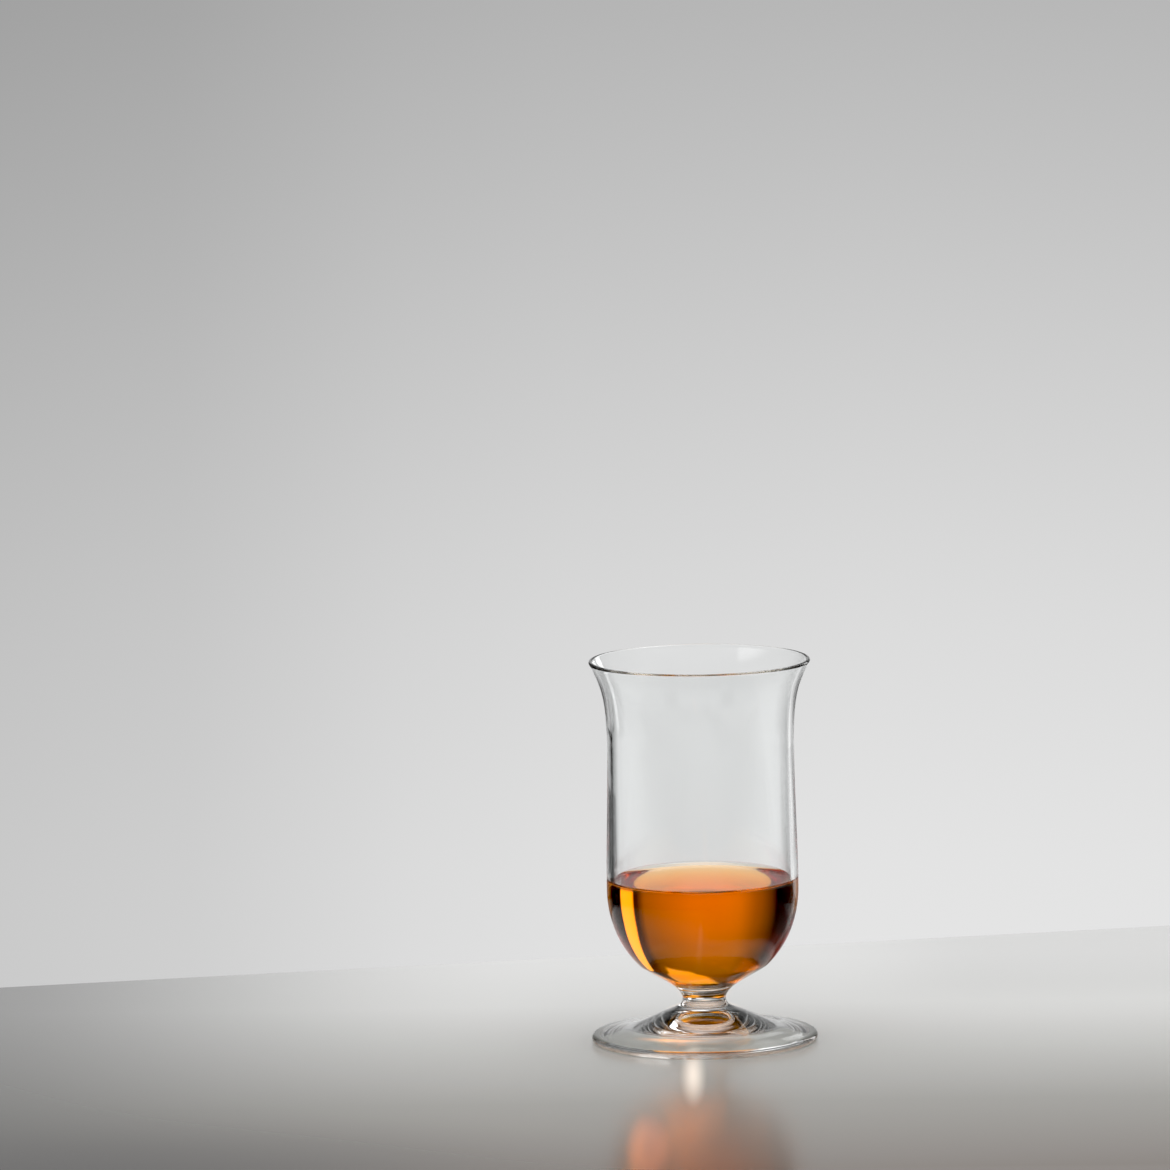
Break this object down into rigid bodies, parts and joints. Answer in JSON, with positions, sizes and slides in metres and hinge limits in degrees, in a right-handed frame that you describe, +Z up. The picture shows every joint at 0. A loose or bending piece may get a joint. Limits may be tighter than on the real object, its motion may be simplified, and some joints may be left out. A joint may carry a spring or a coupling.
{
  "type": "whisky nosing glass",
  "caption": "Footed whisky nosing glass: tall blown bowl with a flared lip, short waisted stem and domed foot, holding a pour of whisky.",
  "frame": {"origin": "on the glass's axis, at the table that it stands on", "axes": "+Z up along the axis of the glass, from the foot to the lip; +X and +Y are alike, because every piece is turned about Z"},
  "size_m": [0.0676, 0.0676, 0.115],
  "materials": {
    "crystal": "polished",
    "whisky": "gloss"
  },
  "bodies": {
    "root": {"bowl": "crystal", "stem": "crystal", "foot": "crystal", "whisky": "whisky"}
  },
  "joints": []
}
